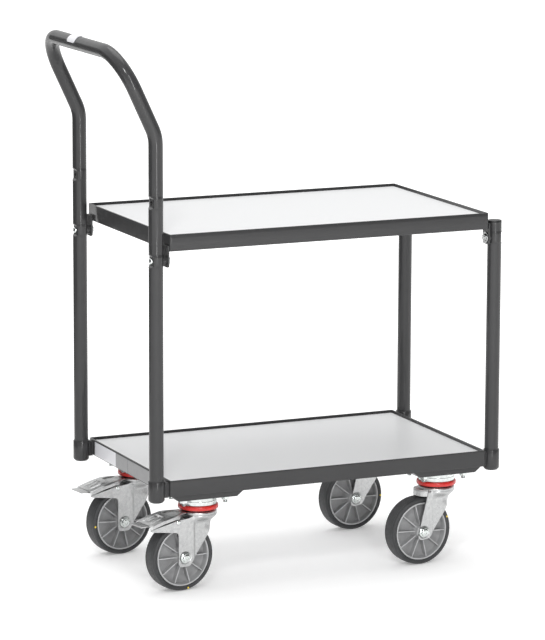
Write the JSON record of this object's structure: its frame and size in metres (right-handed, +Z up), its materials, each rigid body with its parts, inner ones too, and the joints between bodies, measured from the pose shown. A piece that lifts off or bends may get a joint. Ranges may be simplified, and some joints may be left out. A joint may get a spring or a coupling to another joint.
{
  "type": "two-shelf table trolley",
  "caption": "Two-shelf steel table trolley with a bent-tube push handle, recessed shelf boards and swivel castors, those below the handle with foot brakes.",
  "frame": {"origin": "on the floor, under the middle of the bounding box of the whole object", "axes": "+Z up; +X along the trolley, away from the push handle; +Y across it"},
  "size_m": [0.7612, 0.3954, 0.9823],
  "materials": {
    "frame_paint": "dark grey powder coat, satin",
    "board": "wood-based board with a smooth light grey laminate face",
    "cap": "black moulded plastic",
    "zinc": "bright zinc-plated steel",
    "seal": "red moulded plastic",
    "wheel_centre": "mid grey moulded plastic",
    "tyre": "dark grey solid rubber with a fine matt tread",
    "brake_block": "black rubber",
    "label": "blank adhesive label"
  },
  "bodies": {
    "frame": {"upper_rim": "frame_paint", "lower_rim": "frame_paint", "upper_board": "board", "lower_board": "board", "handle_tube": "frame_paint", "post_front": "frame_paint", "post_rear": "frame_paint", "post_cap_front": "cap", "post_cap_rear": "cap", "socket_fl": "frame_paint", "socket_rl": "frame_paint", "socket_fr": "frame_paint", "socket_rr": "frame_paint", "bracket_fl": "frame_paint", "bracket_rl": "frame_paint", "bracket_fr": "frame_paint", "bracket_rr": "frame_paint", "bracket_screw_fl": "zinc", "bracket_screw_rl": "zinc", "bracket_screw_fr": "zinc", "bracket_screw_rr": "zinc", "mount_plate_fl": "frame_paint", "mount_plate_rl": "frame_paint", "mount_plate_fr": "frame_paint", "mount_plate_rr": "frame_paint", "top_plate_fl": "zinc", "top_plate_rl": "zinc", "top_plate_fr": "zinc", "top_plate_rr": "zinc", "handle_badge": "label", "rim_label": "label"},
    "swivel_fl": {"fork_fl": "zinc", "swivel_seal_fl": "seal", "axle_fl": "zinc", "pedal_pin_fl": "zinc"},
    "wheel_fl": {"wheel_centre_fl": "wheel_centre", "tyre_fl": "tyre"},
    "pedal_fl": {"pedal_fl": "zinc", "brake_block_fl": "brake_block"},
    "swivel_rl": {"fork_rl": "zinc", "swivel_seal_rl": "seal", "axle_rl": "zinc", "pedal_pin_rl": "zinc"},
    "wheel_rl": {"wheel_centre_rl": "wheel_centre", "tyre_rl": "tyre"},
    "pedal_rl": {"pedal_rl": "zinc", "brake_block_rl": "brake_block"},
    "swivel_fr": {"fork_fr": "zinc", "swivel_seal_fr": "seal", "axle_fr": "zinc"},
    "wheel_fr": {"wheel_centre_fr": "wheel_centre", "tyre_fr": "tyre"},
    "swivel_rr": {"fork_rr": "zinc", "swivel_seal_rr": "seal", "axle_rr": "zinc"},
    "wheel_rr": {"wheel_centre_rr": "wheel_centre", "tyre_rr": "tyre"}
  },
  "joints": [
    {"name": "swivel_joint_fl", "type": "hinge", "parent": "frame", "child": "swivel_fl", "pos_m": [-0.20217, -0.1445, 0.139], "axis": [0, 0, 1], "continuous": true},
    {"name": "wheel_spin_fl", "type": "hinge", "parent": "swivel_fl", "child": "wheel_fl", "pos_m": [-0.24174, -0.15034, 0.0625], "axis": [-0.1461, 0.9893, 0], "continuous": true},
    {"name": "brake_pedal_fl", "type": "hinge", "parent": "swivel_fl", "child": "pedal_fl", "pos_m": [-0.25638, -0.15251, 0.1285], "axis": [0.1461, -0.9893, 0], "range_deg": [0, 6]},
    {"name": "swivel_joint_rl", "type": "hinge", "parent": "frame", "child": "swivel_rl", "pos_m": [-0.20217, 0.1445, 0.139], "axis": [0, 0, 1], "continuous": true},
    {"name": "wheel_spin_rl", "type": "hinge", "parent": "swivel_rl", "child": "wheel_rl", "pos_m": [-0.24178, 0.13893, 0.0625], "axis": [-0.1392, 0.9903, 0], "continuous": true},
    {"name": "brake_pedal_rl", "type": "hinge", "parent": "swivel_rl", "child": "pedal_rl", "pos_m": [-0.25644, 0.13687, 0.1285], "axis": [0.1392, -0.9903, 0], "range_deg": [0, 6]},
    {"name": "swivel_joint_fr", "type": "hinge", "parent": "frame", "child": "swivel_fr", "pos_m": [0.27283, -0.1445, 0.139], "axis": [0, 0, 1], "continuous": true},
    {"name": "wheel_spin_fr", "type": "hinge", "parent": "swivel_fr", "child": "wheel_fr", "pos_m": [0.23305, -0.14868, 0.0625], "axis": [-0.1045, 0.9945, 0], "continuous": true},
    {"name": "swivel_joint_rr", "type": "hinge", "parent": "frame", "child": "swivel_rr", "pos_m": [0.27283, 0.1445, 0.139], "axis": [0, 0, 1], "continuous": true},
    {"name": "wheel_spin_rr", "type": "hinge", "parent": "swivel_rr", "child": "wheel_rr", "pos_m": [0.23304, 0.14039, 0.0625], "axis": [-0.1028, 0.9947, 0], "continuous": true}
  ]
}
